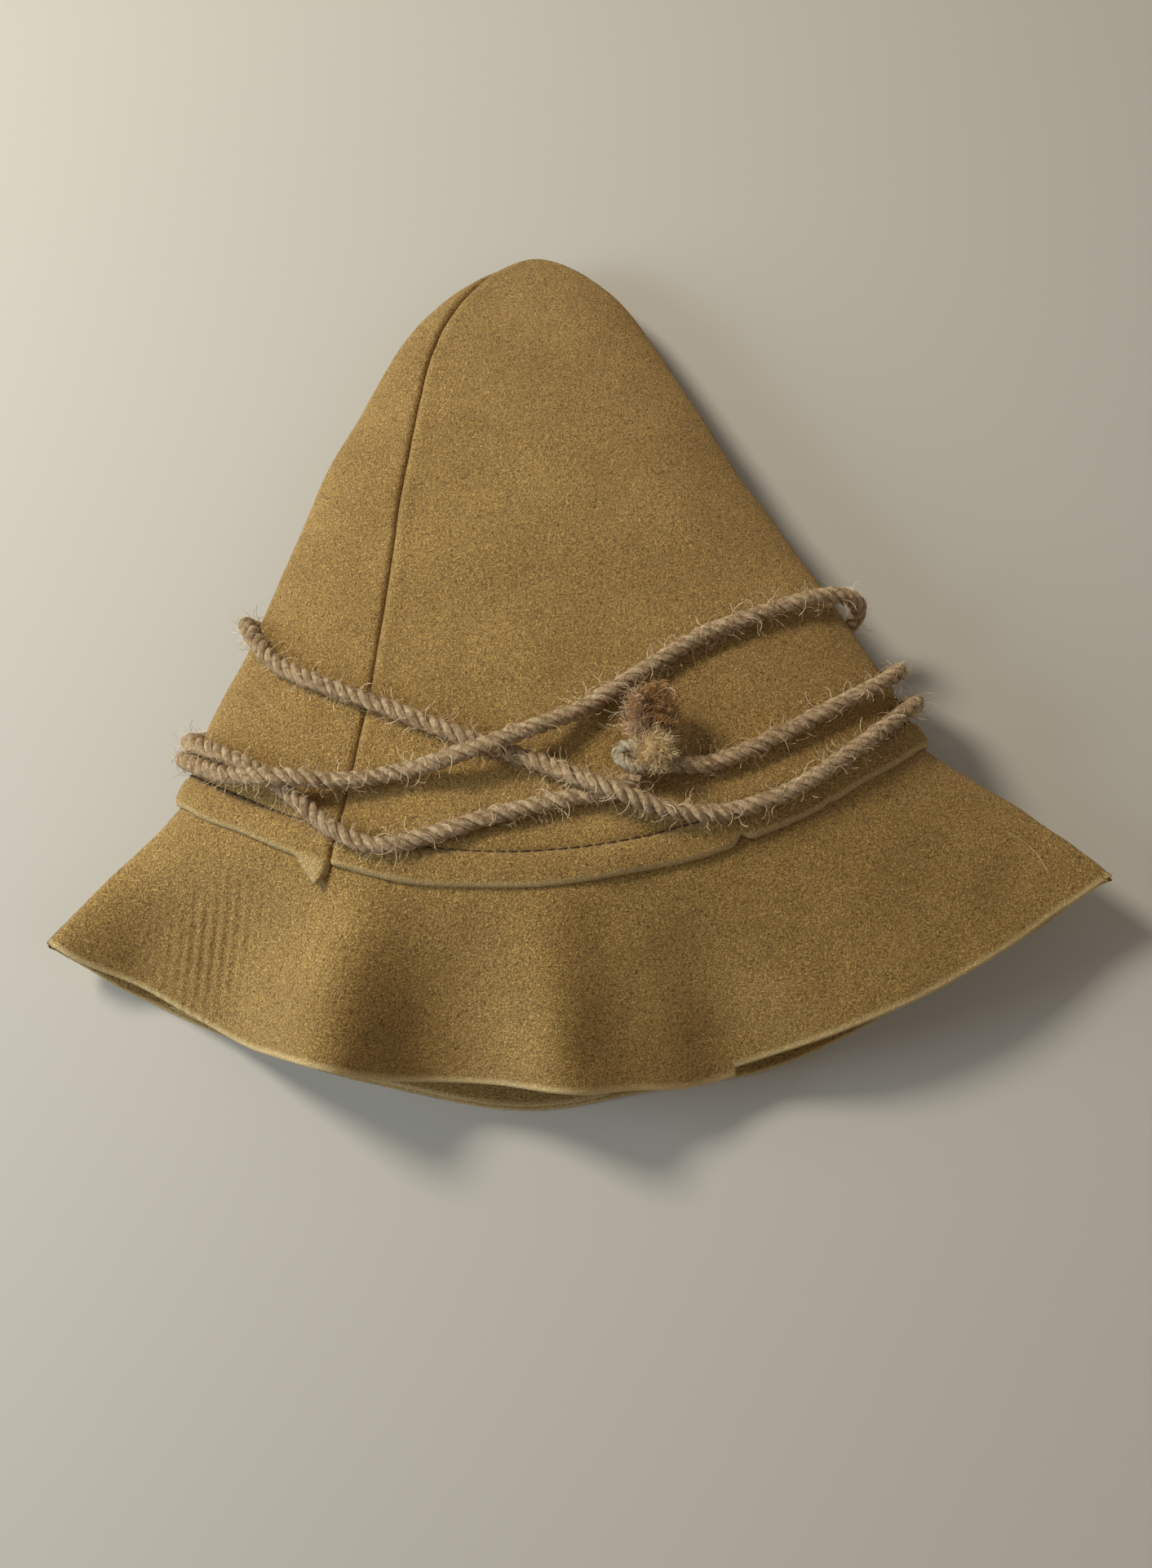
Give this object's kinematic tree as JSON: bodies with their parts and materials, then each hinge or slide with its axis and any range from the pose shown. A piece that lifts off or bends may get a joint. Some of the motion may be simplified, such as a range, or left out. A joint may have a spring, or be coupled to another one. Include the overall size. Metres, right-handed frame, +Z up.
{
  "type": "witch hat",
  "caption": "Soft felt hat with a tall rounded cone crown, a wavy flared brim and a loose rope wound round the crown, lying flat on its back.",
  "frame": {"origin": "middle of the hat's outline on the surface that it lies on, leaving out the rope", "axes": "+X towards the hat's right side fold as seen from above, +Y towards the point of the crown, +Z up from the surface that it lies on"},
  "size_m": [0.419, 0.3697, 0.0772],
  "materials": {
    "felt": "thick matt wool felt",
    "thread": "sewing thread",
    "jute": "hairy twisted jute",
    "jute_dark": "loose dark jute fibres",
    "jute_light": "loose pale jute fibres"
  },
  "bodies": {
    "hat": {"crown_front_panel": "felt", "crown_back_panel": "felt", "brim": "felt", "seam_thread_left": "thread", "seam_thread_right": "thread", "brim_topstitch": "thread"},
    "hatband": {"rope_band": "jute", "rope_knot": "jute", "rope_tuft_upper": "jute_dark", "rope_tuft_lower": "jute_light"}
  },
  "joints": [
    {"name": "hatband_slide", "type": "slide", "parent": "hat", "child": "hatband", "axis": [0, 1, 0], "range_m": [0, 0.04]}
  ]
}
